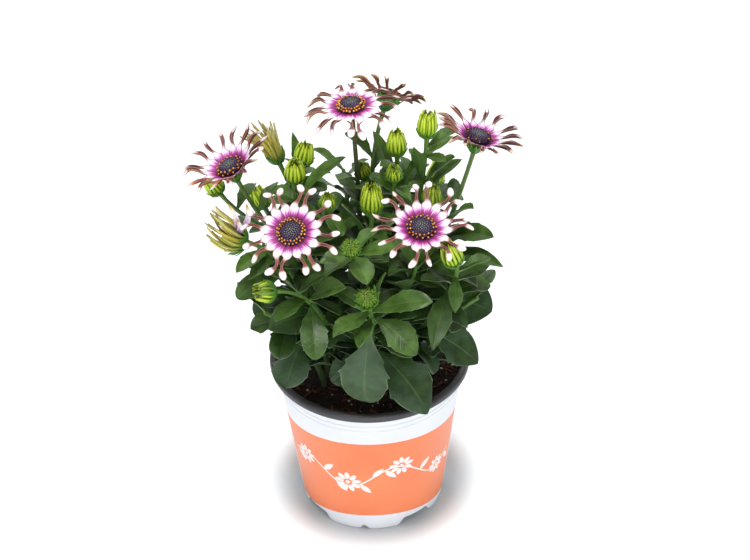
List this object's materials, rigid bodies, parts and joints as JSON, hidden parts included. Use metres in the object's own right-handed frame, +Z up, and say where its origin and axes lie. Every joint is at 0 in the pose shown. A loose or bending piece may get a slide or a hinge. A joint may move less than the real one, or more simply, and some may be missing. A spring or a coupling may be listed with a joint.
{
  "type": "potted osteospermum",
  "caption": "Flowering osteospermum in its pot: leafy stems with spoon-rayed daisies, closing blooms and buds, standing in soil in a round tapering plastic pot.",
  "frame": {"origin": "on the pot's axis, in the plane that the pot stands on", "axes": "+Z up along the pot's axis; -Y is the front of the plant; +X is on the right seen from the front"},
  "size_m": [0.2083, 0.1753, 0.3004],
  "materials": {
    "pot": "satin white thermoformed sheet, black inside and over the rim, with a plain orange band",
    "soil": "rough dark peat with bark fibre and white perlite",
    "leaf": "smooth waxy leaves with a pale midrib and margin, on green stems",
    "rays": "satin white ray petals, violet at the base, red-brown along the pinched tube",
    "disc": "matt violet-grey florets with a ring of orange anthers",
    "bud": "satin lime green folded rays",
    "closing": "matt olive folded rays"
  },
  "bodies": {
    "root": {"pot": "pot", "soil": "soil", "stem_front": "leaf", "stem_front_left": "leaf", "stem_front_right": "leaf", "stem_a": "leaf", "stem_b": "leaf", "stem_h": "leaf", "stem_c": "leaf", "stem_g": "leaf", "stem_3": "leaf", "stem_d": "leaf", "stem_f": "leaf", "stem_2": "leaf", "stem_1": "leaf", "stem_e": "leaf", "stem_5": "leaf", "stem_right": "leaf", "stem_left": "leaf", "stem_rear": "leaf", "stem_rear_right": "leaf", "stem_rear_left": "leaf", "bloom_a_rays": "rays", "bloom_a_disc": "disc", "bloom_b_rays": "rays", "bloom_b_disc": "disc", "bloom_c_rays": "rays", "bloom_c_disc": "disc", "bloom_d_rays": "rays", "bloom_d_disc": "disc", "bloom_e_rays": "rays", "bloom_e_disc": "disc", "bloom_f_rays": "rays", "bloom_f_disc": "disc", "bud_1": "bud", "bud_2": "bud", "bud_3": "bud", "bud_4": "bud", "bud_5": "bud", "bud_6": "bud", "bud_7": "bud", "bud_8": "bud", "bud_9": "bud", "bud_10": "bud", "bud_11": "bud", "bud_12": "bud", "bud_13": "bud", "bud_14": "bud", "bud_15": "bud", "bud_16": "bud", "closing_g": "closing", "closing_h": "closing"}
  },
  "joints": []
}
